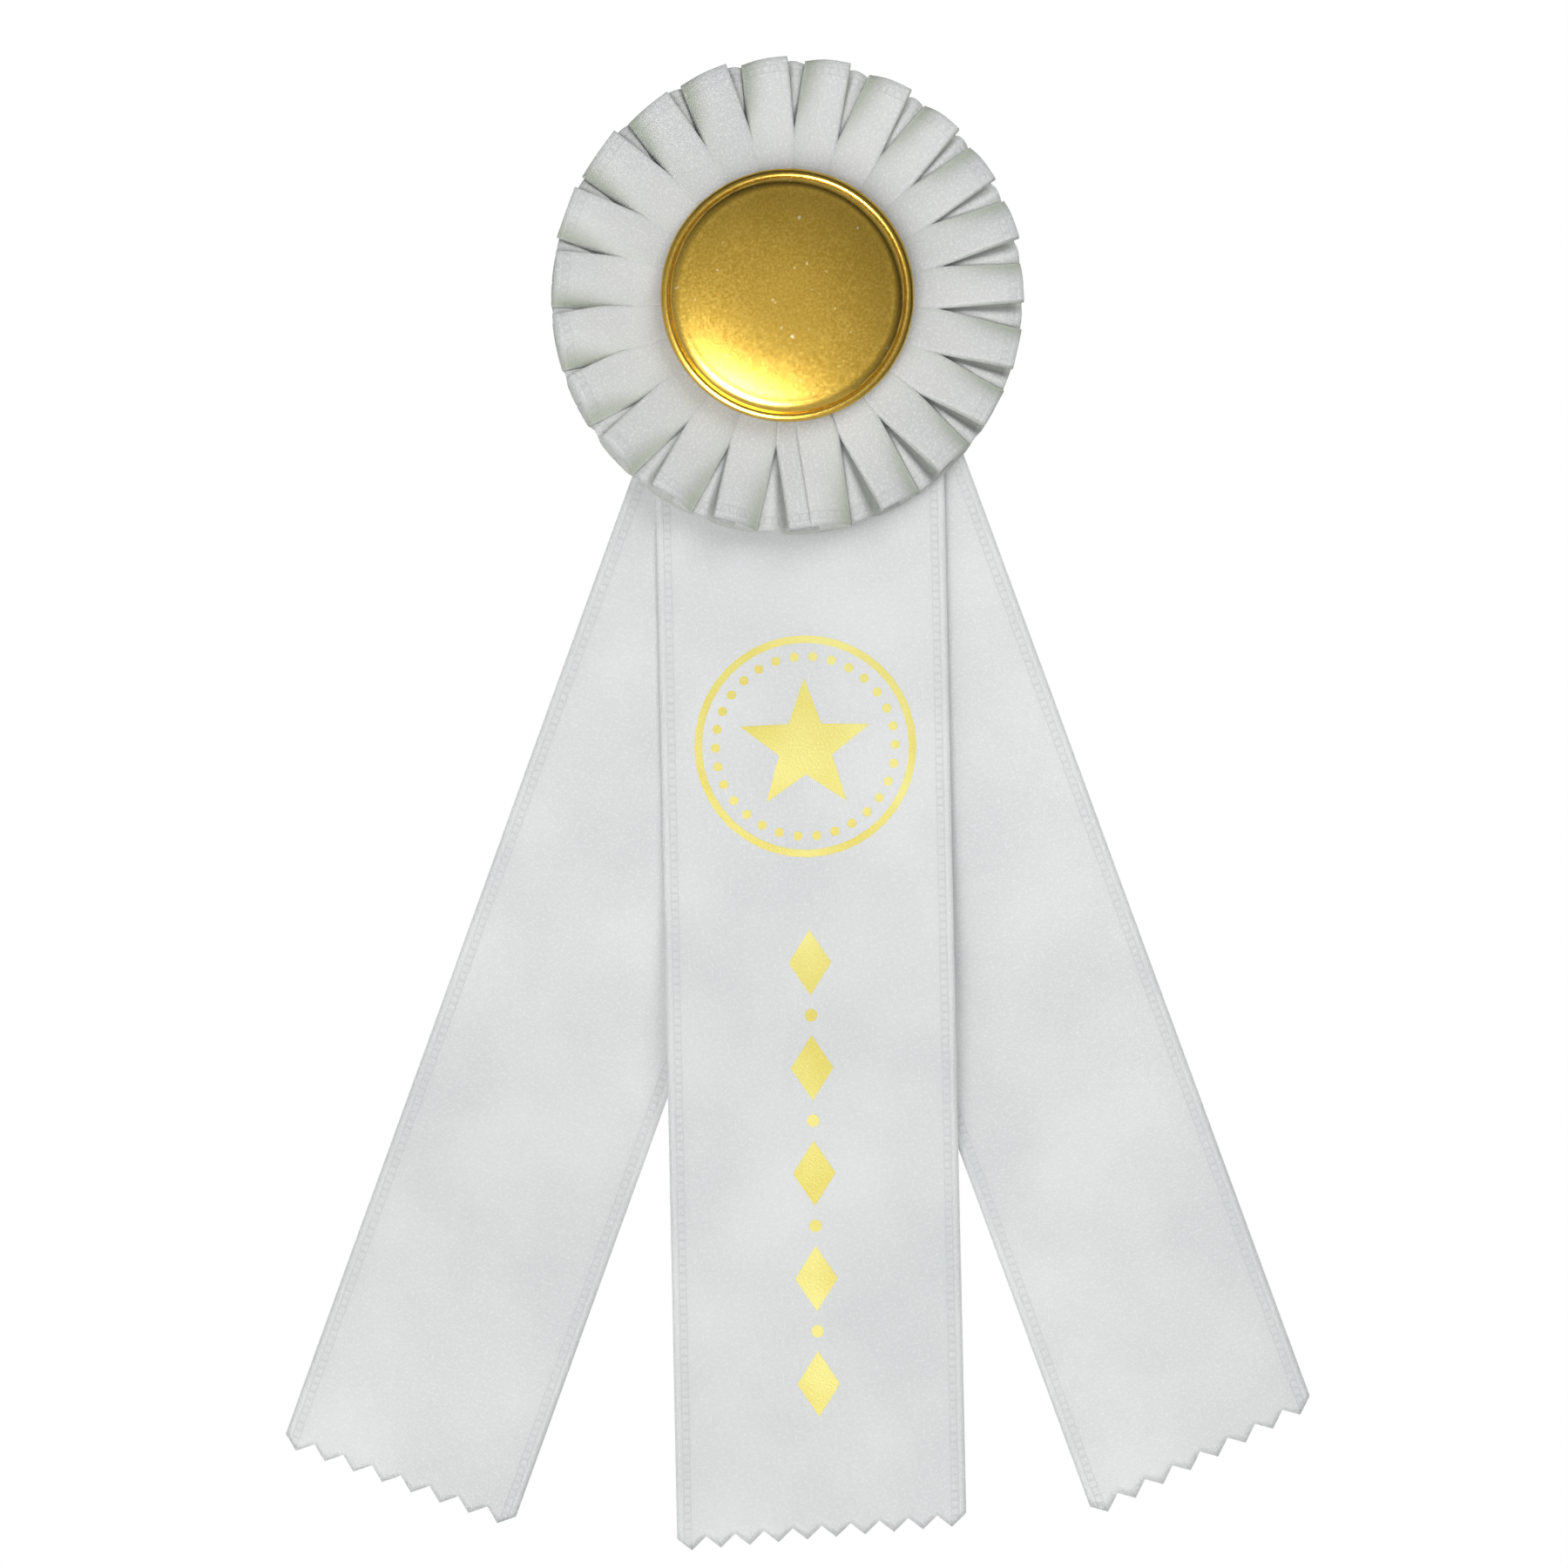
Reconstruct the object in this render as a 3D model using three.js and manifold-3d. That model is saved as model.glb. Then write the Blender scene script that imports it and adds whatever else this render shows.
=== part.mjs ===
// Rosette award ribbon: a pressed gold button on a box-pleated satin ruff, three satin streamers with pinked
// ends, and a bar pin with a rolling safety catch on the back.
//
// Millimetres. +Z is up, +X is to the right as seen from the front, and the front faces -Y. The origin is
// on the axis of the pin's stem, where the fabric that carries the ribbon sits.

import * as THREE from 'three';
import { mergeVertices } from 'three/addons/utils/BufferGeometryUtils.js';
import Module from 'manifold-3d';

const wasm = await Module();
wasm.setup();

const INCH = 25.4;
const GAP = 0.3; // air between pieces that lie on each other
const OVERLAP = 0.2; // how far the parts of one piece run into each other before they are joined

// Sheet and wire thicknesses
const SATIN = 0.4;
const CARD = 0.8;
const STAPLE_WIRE = 0.5;
const PRONG_SHEET = 0.4;
const SHELL_SHEET = 0.5;
const BAR_SHEET = 0.7;

// Rosette
const RUFF_RADIUS = 1.625 * INCH;
const RUFF_WIDTH = 1.125 * INCH; // the width of the ruff's ribbon
const RUFF_BASE = 1.5; // the folded layers at the back of the ruff
const RUFF_DEPTH = 3.8; // the base and the raised pleats together
const PLEATS = 22;
const PLEAT_WIDTH = 7.8;
const PLEAT_INSET = 0.5; // how far the raised pleats stop short of the ruff's edges
const BUTTON_RADIUS = 0.875 * INCH;
const BUTTON_DEPTH = 4.6;
const BUTTON_BACK_SHEET = 0.6;
const BUTTON_BACK_INSET = 2.3; // the back plate's edge, inside the shell's outer edge
const RIM_LIP = 0.5; // the shell's curled edge, behind the button's back plate
const RIM_RADIUS = 1; // the section of the rolled rim
const RIM_HEIGHT = 1.3; // the middle of that section, in front of the curled edge
const SHOULDER_RADIUS = 2.2;
const SHOULDER_OVERLAP = 0.55; // how far the shoulder's arc runs into the rim's, which makes the groove
const CROWN_DROP = 0.7; // how much lower the crown is at the shoulder than in the middle
const CROWN_STEPS = 8;
const RUFF_CARD_RADIUS = 26;
const BACK_CARD_RADIUS = 31;
const DISC_STEPS = 48;

// Streamers: the axis of each crosses the height of the rosette's centre at `startX` and leans by `lean`
// degrees towards +X as it goes down. `cut` is how far, in degrees, its pinked end is from square.
const STREAMERS = {
  centre: { startX: 1.5, lean: 1.2, width: 2 * INCH, length: 217, cut: 4, teeth: 10 },
  left: { startX: 7, lean: -19.9, width: 43, length: 221.5, cut: 0, teeth: 8 },
  right: { startX: -2.1, lean: 20.2, width: 43, length: 217.5, cut: 6.7, teeth: 8 },
};
const TOOTH_DEPTH = 2.2;
const HEAD_TOP = 12; // the streamers' upper ends, above the rosette's centre
const FLAP_DROP = 43; // the line where the streamers swing, below the rosette's centre
const FLAP_GAP = 0.6; // half of the slot between a streamer's head and its tail

// Staples, with a crown behind the streamers and two legs clinched in front of the ruff's card
const STAPLE_CROWN = 10;
const STAPLE_TIP = 3;
const STAPLE_RISES = [-9, 9]; // the staples' heights above the rosette's centre

// Prong fastener on the back of the button
const PRONG_WIDTH = 4;
const PRONG_SPACING = 5;
const PRONG_FOOT = 5.5;

// Bar pin
const PIN_RISE = 14; // the pin above the rosette's centre
const STEM_RADIUS = 0.5;
const STEM_LIFT = 2.2; // the stem's axis behind the bar
const PIVOT_X = -13;
const STEM_TIP_X = 14.4;
const STEM_POINT = 3.2; // the length of the stem's taper
const BAR_LENGTH = 33;
const BAR_WIDTH = 5;
const KNUCKLE_RADIUS = 1.6;
const KNUCKLE_LENGTH = 1.6;
const EAR_SHEET = 0.6;
const EAR_WIDTH = 3.4;
const RIVET_RADIUS = 0.6;
const RIVET_HEAD_RADIUS = 1.1;
const RIVET_HEAD = 0.4;
const CATCH_X = 12.2; // the middle of the rolling catch
const CATCH_LENGTH = 3.2; // the fixed housing's length
const ROLLER_OVERHANG = 0.5;
const TAB_LENGTH = 1; // the thumb tab, along the roller's axis
const TAB_REACH = 3.4; // the thumb tab's tip, from the roller's axis
const TAB_WIDTH = 0.9;
const TAB_ANGLE = 60; // degrees between the thumb tab and the roller's slot
const ROLLER_RADIUS = 1.75;
const ROLLER_BORE = 0.9;
const ROLLER_SLOT = 1.6;
const HOUSING_SHEET = 0.6;
const HOUSING_MOUTH = 2.2;

// Heights and depths that follow. Each depth is the rear face of a layer, from the stem forwards.
const CENTRE_Z = -PIN_RISE;
const FLAP_Z = CENTRE_Z - FLAP_DROP;
const BAR_REAR = -STEM_LIFT;
const BACK_CARD_REAR = BAR_REAR - BAR_SHEET - GAP;
const STAPLE_REAR = BACK_CARD_REAR - CARD - GAP;
const RIGHT_REAR = STAPLE_REAR - STAPLE_WIRE - GAP;
const LEFT_REAR = RIGHT_REAR - SATIN - GAP;
const CENTRE_REAR = LEFT_REAR - SATIN - GAP;
const FEET_REAR = CENTRE_REAR - SATIN - GAP;
const RUFF_CARD_REAR = FEET_REAR - PRONG_SHEET - GAP;
const RUFF_REAR = RUFF_CARD_REAR - CARD - GAP;
const BUTTON_REAR = RUFF_REAR - RUFF_DEPTH - GAP;
const BUTTON_BACK_REAR = BUTTON_REAR - RIM_LIP - GAP;
const PRONG_HEAD_REAR = BUTTON_BACK_REAR + GAP + PRONG_SHEET;

const SATIN_FINISH = { color: 0xdfe3e2, roughness: 0.45, metalness: 0 };
const GOLD_FINISH = { color: 0xb8944a, roughness: 0.35, metalness: 0.9 };
const STEEL_FINISH = { color: 0xc9cacb, roughness: 0.3, metalness: 1 };
const CARD_FINISH = { color: 0xf2f1ec, roughness: 0.9, metalness: 0 };

const award_ribbon = new THREE.Group();

function radians(degrees) {
  return (degrees * Math.PI) / 180;
}

function addPiece(name, geometry, finish) {
  const mesh = new THREE.Mesh(geometry, new THREE.MeshStandardMaterial(finish));
  mesh.name = name;
  award_ribbon.add(mesh);
}

// ---- shapes ----------------------------------------------------------------------------------------------

function polygon(points) {
  return new THREE.Shape(points.map(([x, y]) => new THREE.Vector2(x, y)));
}

function rectangle(lowX, lowY, highX, highY) {
  return polygon([[lowX, lowY], [highX, lowY], [highX, highY], [lowX, highY]]);
}

function extrusion(outline, depth, curveSegments = 12) {
  return new THREE.ExtrudeGeometry(outline, { depth, curveSegments, bevelEnabled: false });
}

// A flat sheet whose outline is drawn in X and Z, with its rear face at y = rear.
function sheet(outline, rear, thickness) {
  return extrusion(outline, thickness).rotateX(Math.PI / 2).translate(0, rear, 0);
}

// A bent strip whose outline is drawn in X and Y, and whose width runs along Z about z = middle.
function bentStrip(outline, middle, width) {
  return extrusion(outline, width).translate(0, 0, middle - width / 2);
}

// A bar whose section is drawn in Y and Z, and which runs along X from x = start.
function barAlongX(section, start, length) {
  const [x, y, z] = [new THREE.Vector3(1, 0, 0), new THREE.Vector3(0, 1, 0), new THREE.Vector3(0, 0, 1)];
  const turn = new THREE.Matrix4().makeBasis(y, z, x); // the drawing's X, Y and depth become Y, Z and X
  return extrusion(section, length).applyMatrix4(turn).translate(start, 0, 0);
}

// A round piece about the rosette's axis. Its profile gives radii and heights in front of y = rear.
function turnedOnRosette(profile, rear) {
  const points = profile.map(([radius, height]) => new THREE.Vector2(radius, height));
  return new THREE.LatheGeometry(points, DISC_STEPS).rotateX(Math.PI).translate(0, rear, CENTRE_Z);
}

// Points on an arc from one angle to another, in degrees.
function arc(centreX, centreY, radius, from, to, steps) {
  return Array.from({ length: steps + 1 }, (_, i) => {
    const angle = radians(from + ((to - from) * i) / steps);
    return [centreX + radius * Math.cos(angle), centreY + radius * Math.sin(angle)];
  });
}

// ---- joining and cutting ---------------------------------------------------------------------------------

function toSolid(geometry) {
  const bare = geometry.clone();
  bare.deleteAttribute('normal');
  bare.deleteAttribute('uv');
  const merged = mergeVertices(bare, 1e-4);
  return new wasm.Manifold(new wasm.Mesh({
    numProp: 3,
    vertProperties: new Float32Array(merged.attributes.position.array),
    triVerts: new Uint32Array(merged.index.array),
  }));
}

function toGeometry(solid) {
  const mesh = solid.getMesh();
  const geometry = new THREE.BufferGeometry();
  geometry.setAttribute('position', new THREE.BufferAttribute(mesh.vertProperties, 3));
  geometry.setIndex(new THREE.BufferAttribute(mesh.triVerts, 1));
  geometry.computeVertexNormals();
  return geometry;
}

function join(...geometries) {
  return toGeometry(geometries.map(toSolid).reduce((whole, piece) => whole.add(piece)));
}

function cut(geometry, ...tools) {
  return toGeometry(tools.map(toSolid).reduce((whole, tool) => whole.subtract(tool), toSolid(geometry)));
}

// ---- rosette ---------------------------------------------------------------------------------------------

// The pressed shell: a crowned face with a rounded shoulder, a groove, and a rolled rim whose edge curls in
// behind the back plate.
function buttonShell() {
  const rimCentre = BUTTON_RADIUS - RIM_RADIUS;
  const rimInside = rimCentre - RIM_RADIUS;
  const shoulderCentre = rimInside - SHOULDER_RADIUS + SHOULDER_OVERLAP;
  const shoulderHeight = BUTTON_DEPTH - CROWN_DROP - SHOULDER_RADIUS;
  const crown = Array.from({ length: CROWN_STEPS }, (_, i) => {
    const share = i / CROWN_STEPS;
    return [shoulderCentre * share, BUTTON_DEPTH - CROWN_DROP * share ** 2];
  });
  const inside = [
    ...crown.map(([radius, height]) => [radius, height - SHELL_SHEET]),
    ...arc(shoulderCentre, shoulderHeight, SHOULDER_RADIUS - SHELL_SHEET, 90, 0, 5),
    ...arc(rimCentre, RIM_HEIGHT, RIM_RADIUS - SHELL_SHEET, 120, -60, 5),
    [rimInside, RIM_LIP],
  ];
  const outside = [
    [rimInside, 0],
    ...arc(rimCentre, RIM_HEIGHT, RIM_RADIUS, -60, 150, 10),
    ...arc(shoulderCentre, shoulderHeight, SHOULDER_RADIUS, 8, 90, 7),
    ...crown.reverse(),
  ];
  return turnedOnRosette([...inside, ...outside], BUTTON_REAR);
}

// A flat disc about the rosette's axis.
function disc(radius, thickness, rear) {
  return turnedOnRosette([[0, 0], [radius, 0], [radius, thickness], [0, thickness]], rear);
}

function buttonBack() {
  return disc(BUTTON_RADIUS - BUTTON_BACK_INSET, BUTTON_BACK_SHEET, BUTTON_BACK_REAR);
}

// A strip with a flat head against the back plate and two legs that go through the ruff's card and bend out.
function prongFastener() {
  const outer = PRONG_SPACING / 2;
  const inner = outer - PRONG_SHEET;
  const toe = outer + PRONG_FOOT;
  const head = PRONG_HEAD_REAR - PRONG_SHEET;
  const sole = FEET_REAR - PRONG_SHEET;
  return bentStrip(polygon([
    [-outer, head], [outer, head], [outer, sole], [toe, sole], [toe, FEET_REAR], [inner, FEET_REAR],
    [inner, PRONG_HEAD_REAR], [-inner, PRONG_HEAD_REAR], [-inner, FEET_REAR], [-toe, FEET_REAR],
    [-toe, sole], [-outer, sole],
  ]), CENTRE_Z, PRONG_WIDTH);
}

// One raised pleat, pointing up from the rosette's centre. Neighbours run into each other near the middle of
// the rosette and part towards the rim.
function raisedPleat() {
  const inner = RUFF_RADIUS - RUFF_WIDTH + PLEAT_INSET;
  return rectangle(-PLEAT_WIDTH / 2, inner, PLEAT_WIDTH / 2, RUFF_RADIUS - PLEAT_INSET);
}

function pleatedRuff() {
  const inner = RUFF_RADIUS - RUFF_WIDTH;
  const base = turnedOnRosette([
    [inner, 0], [RUFF_RADIUS, 0], [RUFF_RADIUS, RUFF_BASE], [inner, RUFF_BASE], [inner, 0],
  ], RUFF_REAR);
  const pleats = Array.from({ length: PLEATS }, (_, i) => {
    const pleat = sheet(raisedPleat(), RUFF_REAR - RUFF_BASE + OVERLAP, RUFF_DEPTH - RUFF_BASE + OVERLAP);
    return pleat.rotateY((2 * Math.PI * (i + 0.5)) / PLEATS).translate(0, 0, CENTRE_Z);
  });
  return join(base, ...pleats);
}

function ruffCard() {
  const legMiddle = (PRONG_SPACING - PRONG_SHEET) / 2;
  const halfWidth = PRONG_SHEET / 2 + GAP;
  const halfHeight = PRONG_WIDTH / 2 + GAP;
  const prongSlots = [-legMiddle, legMiddle].map(
    (x) => throughTheLayers(x, CENTRE_Z, halfWidth, halfHeight),
  );
  return cut(disc(RUFF_CARD_RADIUS, CARD, RUFF_CARD_REAR), ...prongSlots, ...stapleHoles());
}

// The disc that covers the staples and carries the pin, turned by half a step so that one of its facets is
// straight below.
function backCard() {
  const halfStep = Math.PI / DISC_STEPS;
  const radius = BACK_CARD_RADIUS;
  const card = new THREE.CylinderGeometry(radius, radius, CARD, DISC_STEPS, 1, false, halfStep);
  return card.translate(0, BACK_CARD_REAR - CARD / 2, CENTRE_Z);
}

// ---- staples ---------------------------------------------------------------------------------------------

// A block that runs through every layer from the staples' crowns to the ruff, to cut a hole with.
function throughTheLayers(x, z, halfWidth, halfHeight) {
  const outline = rectangle(x - halfWidth, z - halfHeight, x + halfWidth, z + halfHeight);
  return sheet(outline, STAPLE_REAR, STAPLE_REAR - RUFF_REAR);
}

// The square holes that let the staples' legs through.
function stapleHoles() {
  const half = STAPLE_WIRE / 2 + GAP;
  const legX = (STAPLE_CROWN - STAPLE_WIRE) / 2;
  return STAPLE_RISES.flatMap((rise) => [-legX, legX].map(
    (x) => throughTheLayers(x, CENTRE_Z + rise, half, half),
  ));
}

function staple(rise) {
  const outer = STAPLE_CROWN / 2;
  const inner = outer - STAPLE_WIRE;
  const tip = inner - STAPLE_TIP;
  const clinch = RUFF_CARD_REAR - CARD - GAP;
  const front = clinch - STAPLE_WIRE;
  const crown = STAPLE_REAR - STAPLE_WIRE;
  return bentStrip(polygon([
    [-outer, STAPLE_REAR], [-outer, front], [-tip, front], [-tip, clinch], [-inner, clinch], [-inner, crown],
    [inner, crown], [inner, clinch], [tip, clinch], [tip, front], [outer, front], [outer, STAPLE_REAR],
  ]), CENTRE_Z + rise, STAPLE_WIRE);
}

// ---- streamers -------------------------------------------------------------------------------------------

// The point `across` to the right of a streamer's axis and `down` along it.
function onStreamer({ startX, lean }, across, down) {
  const angle = radians(lean);
  return [
    startX + across * Math.cos(angle) + down * Math.sin(angle),
    CENTRE_Z + across * Math.sin(angle) - down * Math.cos(angle),
  ];
}

// The point where a streamer's line at `across` crosses a height.
function atHeight(streamer, across, z) {
  const angle = radians(streamer.lean);
  return onStreamer(streamer, across, (CENTRE_Z - z + across * Math.sin(angle)) / Math.cos(angle));
}

// The upper part, held between the cards.
function streamerHead(streamer, rear) {
  const half = streamer.width / 2;
  const top = CENTRE_Z + HEAD_TOP;
  const bottom = FLAP_Z + FLAP_GAP;
  const outline = polygon([
    atHeight(streamer, -half, bottom), atHeight(streamer, half, bottom),
    atHeight(streamer, half, top), atHeight(streamer, -half, top),
  ]);
  return cut(sheet(outline, rear, SATIN), ...stapleHoles());
}

// The part that hangs free, down to the pinked end.
function streamerTail(streamer, rear) {
  const half = streamer.width / 2;
  const top = FLAP_Z - FLAP_GAP;
  const slope = Math.tan(radians(streamer.cut));
  const pinked = Array.from({ length: 2 * streamer.teeth + 1 }, (_, i) => {
    const across = half - (i * half) / streamer.teeth;
    const tooth = (i % 2 ? 0.5 : -0.5) * TOOTH_DEPTH;
    return onStreamer(streamer, across, streamer.length - across * slope + tooth);
  });
  const outline = polygon([atHeight(streamer, -half, top), atHeight(streamer, half, top), ...pinked]);
  return sheet(outline, rear, SATIN);
}

// ---- bar pin ---------------------------------------------------------------------------------------------

function circleAt(x, y, radius) {
  return new THREE.Shape().absarc(x, y, radius, 0, 2 * Math.PI, false);
}

// A ring section in Y and Z about the stem's axis, with a mouth of the given width that faces +Y.
function openRing(outer, inner, mouth) {
  const outerEdge = THREE.MathUtils.radToDeg(Math.asin(mouth / 2 / outer));
  const innerEdge = THREE.MathUtils.radToDeg(Math.asin(mouth / 2 / inner));
  return polygon([
    ...arc(0, 0, outer, outerEdge, 360 - outerEdge, 24),
    ...arc(0, 0, inner, 360 - innerEdge, innerEdge, 20),
  ]);
}

// The stamped bar, with two ears for the rivet and the fixed housing of the catch.
function pinBar() {
  const plate = sheet(
    rectangle(-BAR_LENGTH / 2, -BAR_WIDTH / 2, BAR_LENGTH / 2, BAR_WIDTH / 2), BAR_REAR, BAR_SHEET,
  );
  const earMiddle = KNUCKLE_LENGTH / 2 + GAP + EAR_SHEET / 2;
  const ears = [-earMiddle, earMiddle].map((z) => bentStrip(polygon([
    [PIVOT_X - EAR_WIDTH / 2, BAR_REAR - OVERLAP], [PIVOT_X + EAR_WIDTH / 2, BAR_REAR - OVERLAP],
    ...arc(PIVOT_X, 0, EAR_WIDTH / 2, 0, 180, 12),
  ]), z, EAR_SHEET));
  const inner = ROLLER_RADIUS + GAP;
  const housing = barAlongX(
    openRing(inner + HOUSING_SHEET, inner, HOUSING_MOUTH), CATCH_X - CATCH_LENGTH / 2, CATCH_LENGTH,
  );
  const rivetHole = bentStrip(circleAt(PIVOT_X, 0, RIVET_RADIUS + GAP), 0, BAR_WIDTH);
  return cut(join(plate, ...ears, housing), rivetHole);
}

function pinRivet() {
  const shank = KNUCKLE_LENGTH / 2 + GAP + EAR_SHEET + GAP;
  const end = shank + RIVET_HEAD;
  const profile = [
    [0, -end], [RIVET_HEAD_RADIUS, -end], [RIVET_HEAD_RADIUS, -shank], [RIVET_RADIUS, -shank],
    [RIVET_RADIUS, shank], [RIVET_HEAD_RADIUS, shank], [RIVET_HEAD_RADIUS, end], [0, end],
  ].map(([radius, height]) => new THREE.Vector2(radius, height));
  return new THREE.LatheGeometry(profile, 24).rotateX(Math.PI / 2).translate(PIVOT_X, 0, 0);
}

// The sharp stem, with the knuckle that turns on the rivet.
function pinStem() {
  const wire = [
    [0, 0], [STEM_RADIUS, 0], [STEM_RADIUS, STEM_TIP_X - STEM_POINT - PIVOT_X],
    [STEM_RADIUS * 0.2, STEM_TIP_X - PIVOT_X], [0, STEM_TIP_X - PIVOT_X],
  ].map(([radius, height]) => new THREE.Vector2(radius, height));
  const needle = new THREE.LatheGeometry(wire, 16).rotateZ(-Math.PI / 2).translate(PIVOT_X, 0, 0);
  const knuckle = bentStrip(circleAt(PIVOT_X, 0, KNUCKLE_RADIUS), 0, KNUCKLE_LENGTH);
  const rivetHole = bentStrip(circleAt(PIVOT_X, 0, RIVET_RADIUS + GAP), 0, 2 * KNUCKLE_LENGTH);
  return cut(join(needle, knuckle), rivetHole);
}

// The slotted roller that turns round the stem's point, with its thumb tab past the housing's outer end.
function pinCatch() {
  const start = CATCH_X - CATCH_LENGTH / 2 - ROLLER_OVERHANG;
  const tabStart = CATCH_X + CATCH_LENGTH / 2 + GAP;
  const roller = barAlongX(
    openRing(ROLLER_RADIUS, ROLLER_BORE, ROLLER_SLOT), start, tabStart + TAB_LENGTH - start,
  );
  const tab = barAlongX(
    rectangle(ROLLER_RADIUS - OVERLAP, -TAB_WIDTH / 2, TAB_REACH, TAB_WIDTH / 2), tabStart, TAB_LENGTH,
  ).rotateX(radians(-TAB_ANGLE));
  return join(roller, tab);
}

// ---- assembly --------------------------------------------------------------------------------------------

addPiece('button_shell', buttonShell(), GOLD_FINISH);
addPiece('button_back', buttonBack(), STEEL_FINISH);
addPiece('prong_fastener', prongFastener(), STEEL_FINISH);
addPiece('pleated_ruff', pleatedRuff(), SATIN_FINISH);
addPiece('ruff_card', ruffCard(), CARD_FINISH);
addPiece('back_card', backCard(), CARD_FINISH);

const REARS = { centre: CENTRE_REAR, left: LEFT_REAR, right: RIGHT_REAR };
for (const [side, streamer] of Object.entries(STREAMERS)) {
  addPiece(`${side}_streamer_head`, streamerHead(streamer, REARS[side]), SATIN_FINISH);
  addPiece(`${side}_streamer_tail`, streamerTail(streamer, REARS[side]), SATIN_FINISH);
}
for (const [i, rise] of STAPLE_RISES.entries()) {
  addPiece(`staple_${i + 1}`, staple(rise), STEEL_FINISH);
}

addPiece('pin_bar', pinBar(), STEEL_FINISH);
addPiece('pin_rivet', pinRivet(), STEEL_FINISH);
addPiece('pin_stem', pinStem(), STEEL_FINISH);
addPiece('pin_catch', pinCatch(), STEEL_FINISH);

export default award_ribbon;
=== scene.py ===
"""Looks of the rosette award ribbon: satin streamers with a foil print, a box-pleated ruff, a gold button and
the cards, staples and bar pin behind them. Metres, +Z up, +X to the right, and the front faces -Y."""

import math
import random

import bmesh
import bpy
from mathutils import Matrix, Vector
from mathutils.geometry import delaunay_2d_cdt


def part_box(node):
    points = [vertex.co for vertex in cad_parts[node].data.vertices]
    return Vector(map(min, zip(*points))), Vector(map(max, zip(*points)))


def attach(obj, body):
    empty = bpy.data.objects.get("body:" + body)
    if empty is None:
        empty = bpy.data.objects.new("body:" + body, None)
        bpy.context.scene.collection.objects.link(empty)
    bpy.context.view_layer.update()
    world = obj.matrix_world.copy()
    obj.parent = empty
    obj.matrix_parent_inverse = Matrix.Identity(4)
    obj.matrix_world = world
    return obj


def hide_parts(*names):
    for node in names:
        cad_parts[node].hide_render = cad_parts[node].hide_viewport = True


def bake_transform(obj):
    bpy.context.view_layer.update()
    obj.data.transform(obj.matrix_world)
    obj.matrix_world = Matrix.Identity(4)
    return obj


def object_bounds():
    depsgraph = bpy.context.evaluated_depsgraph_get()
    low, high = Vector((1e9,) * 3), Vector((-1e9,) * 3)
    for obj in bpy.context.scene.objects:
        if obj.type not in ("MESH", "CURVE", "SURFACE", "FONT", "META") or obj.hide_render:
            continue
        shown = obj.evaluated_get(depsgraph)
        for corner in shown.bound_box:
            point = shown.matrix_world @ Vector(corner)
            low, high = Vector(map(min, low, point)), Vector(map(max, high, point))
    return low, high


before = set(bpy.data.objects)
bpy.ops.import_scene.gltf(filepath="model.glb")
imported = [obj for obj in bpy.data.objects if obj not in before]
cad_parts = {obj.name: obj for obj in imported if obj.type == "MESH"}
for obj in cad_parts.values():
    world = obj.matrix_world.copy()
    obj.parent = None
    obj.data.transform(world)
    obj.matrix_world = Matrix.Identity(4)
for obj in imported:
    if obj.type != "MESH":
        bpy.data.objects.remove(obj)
CAD_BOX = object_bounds()

MM = 0.001


def middle_of(node):
    """The middle of a CAD node's box."""
    low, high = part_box(node)
    return (Vector(low) + Vector(high)) / 2


def front_of(node):
    """The y of a CAD node's front face, which looks along -Y."""
    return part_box(node)[0][1]


def rear_of(node):
    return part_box(node)[1][1]


CENTRE = middle_of("button_back")  # the rosette's axis passes through it
RUFF_RADIUS = (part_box("pleated_ruff")[1][0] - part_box("pleated_ruff")[0][0]) / 2
BUTTON_RADIUS = (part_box("button_shell")[1][0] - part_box("button_shell")[0][0]) / 2

# The ribbons
SATIN_SHEET = 0.2 * MM
RUFF_WIDTH = 28.575 * MM

# Streamers: the axis of each crosses the height of the rosette's centre at start_x and leans by `lean`
# degrees towards +X as it goes down; `cut` is how far, in degrees, its pinked end is from square.
STREAMERS = {
    "centre": dict(start_x=1.5 * MM, lean=1.2, width=50.8 * MM, length=217 * MM, cut=4, teeth=10),
    "left": dict(start_x=7 * MM, lean=-19.9, width=43 * MM, length=221.5 * MM, cut=0, teeth=8),
    "right": dict(start_x=-2.1 * MM, lean=20.2, width=43 * MM, length=217.5 * MM, cut=6.7, teeth=8),
}
HEAD_RISE = 12 * MM  # the streamers' upper ends, above the rosette's centre
TOOTH_DEPTH = 2.2 * MM


def smooth(low, high, x):
    """0 below low, 1 above high, and an even slope between them."""
    t = min(1.0, max(0.0, (x - low) / (high - low)))
    return t * t * (3 - 2 * t)


# ---- camera, light and stage -------------------------------------------------------------------------------

VIEW_DROP = 85.6 * MM  # the picture's middle, below the rosette's centre
VIEW_SHIFT = -0.6 * MM
VIEW_WIDTH = 274.6 * MM  # what the picture takes in at the object
CAMERA_DISTANCE = 2.2
FLOOR_DROP = 0.8  # the floor, below the hanging ends
FLOOR_SIZE = 0.75  # from its middle to its edge
LIGHT_DROP = 0.07  # what the cloth's lights point at, below the rosette's centre

# Each light's way from what it points at, its size and its power. The cloth's lights show in no reflections,
# and the button's glows show only in reflections.
CLOTH_LIGHTS = {
    "key": ((0.5, -0.8, 0.7), 0.8, 6.3),
    "fill": ((-0.35, -1.3, -0.2), 0.9, 5.2),
}
BACK_LIGHT = ((0.2, 0.9, 0.5), 0.8, 9)
BUTTON_LIGHTS = {
    "crown_glow": ((-0.15, -1, -0.26), 0.2, 2.4),
    "shoulder_glow": ((-0.3, -0.75, -0.55), 0.5, 26),
}
ROOM_BRIGHT_WAY = (-0.5, -0.5, -0.7)  # where the room is brightest
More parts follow.
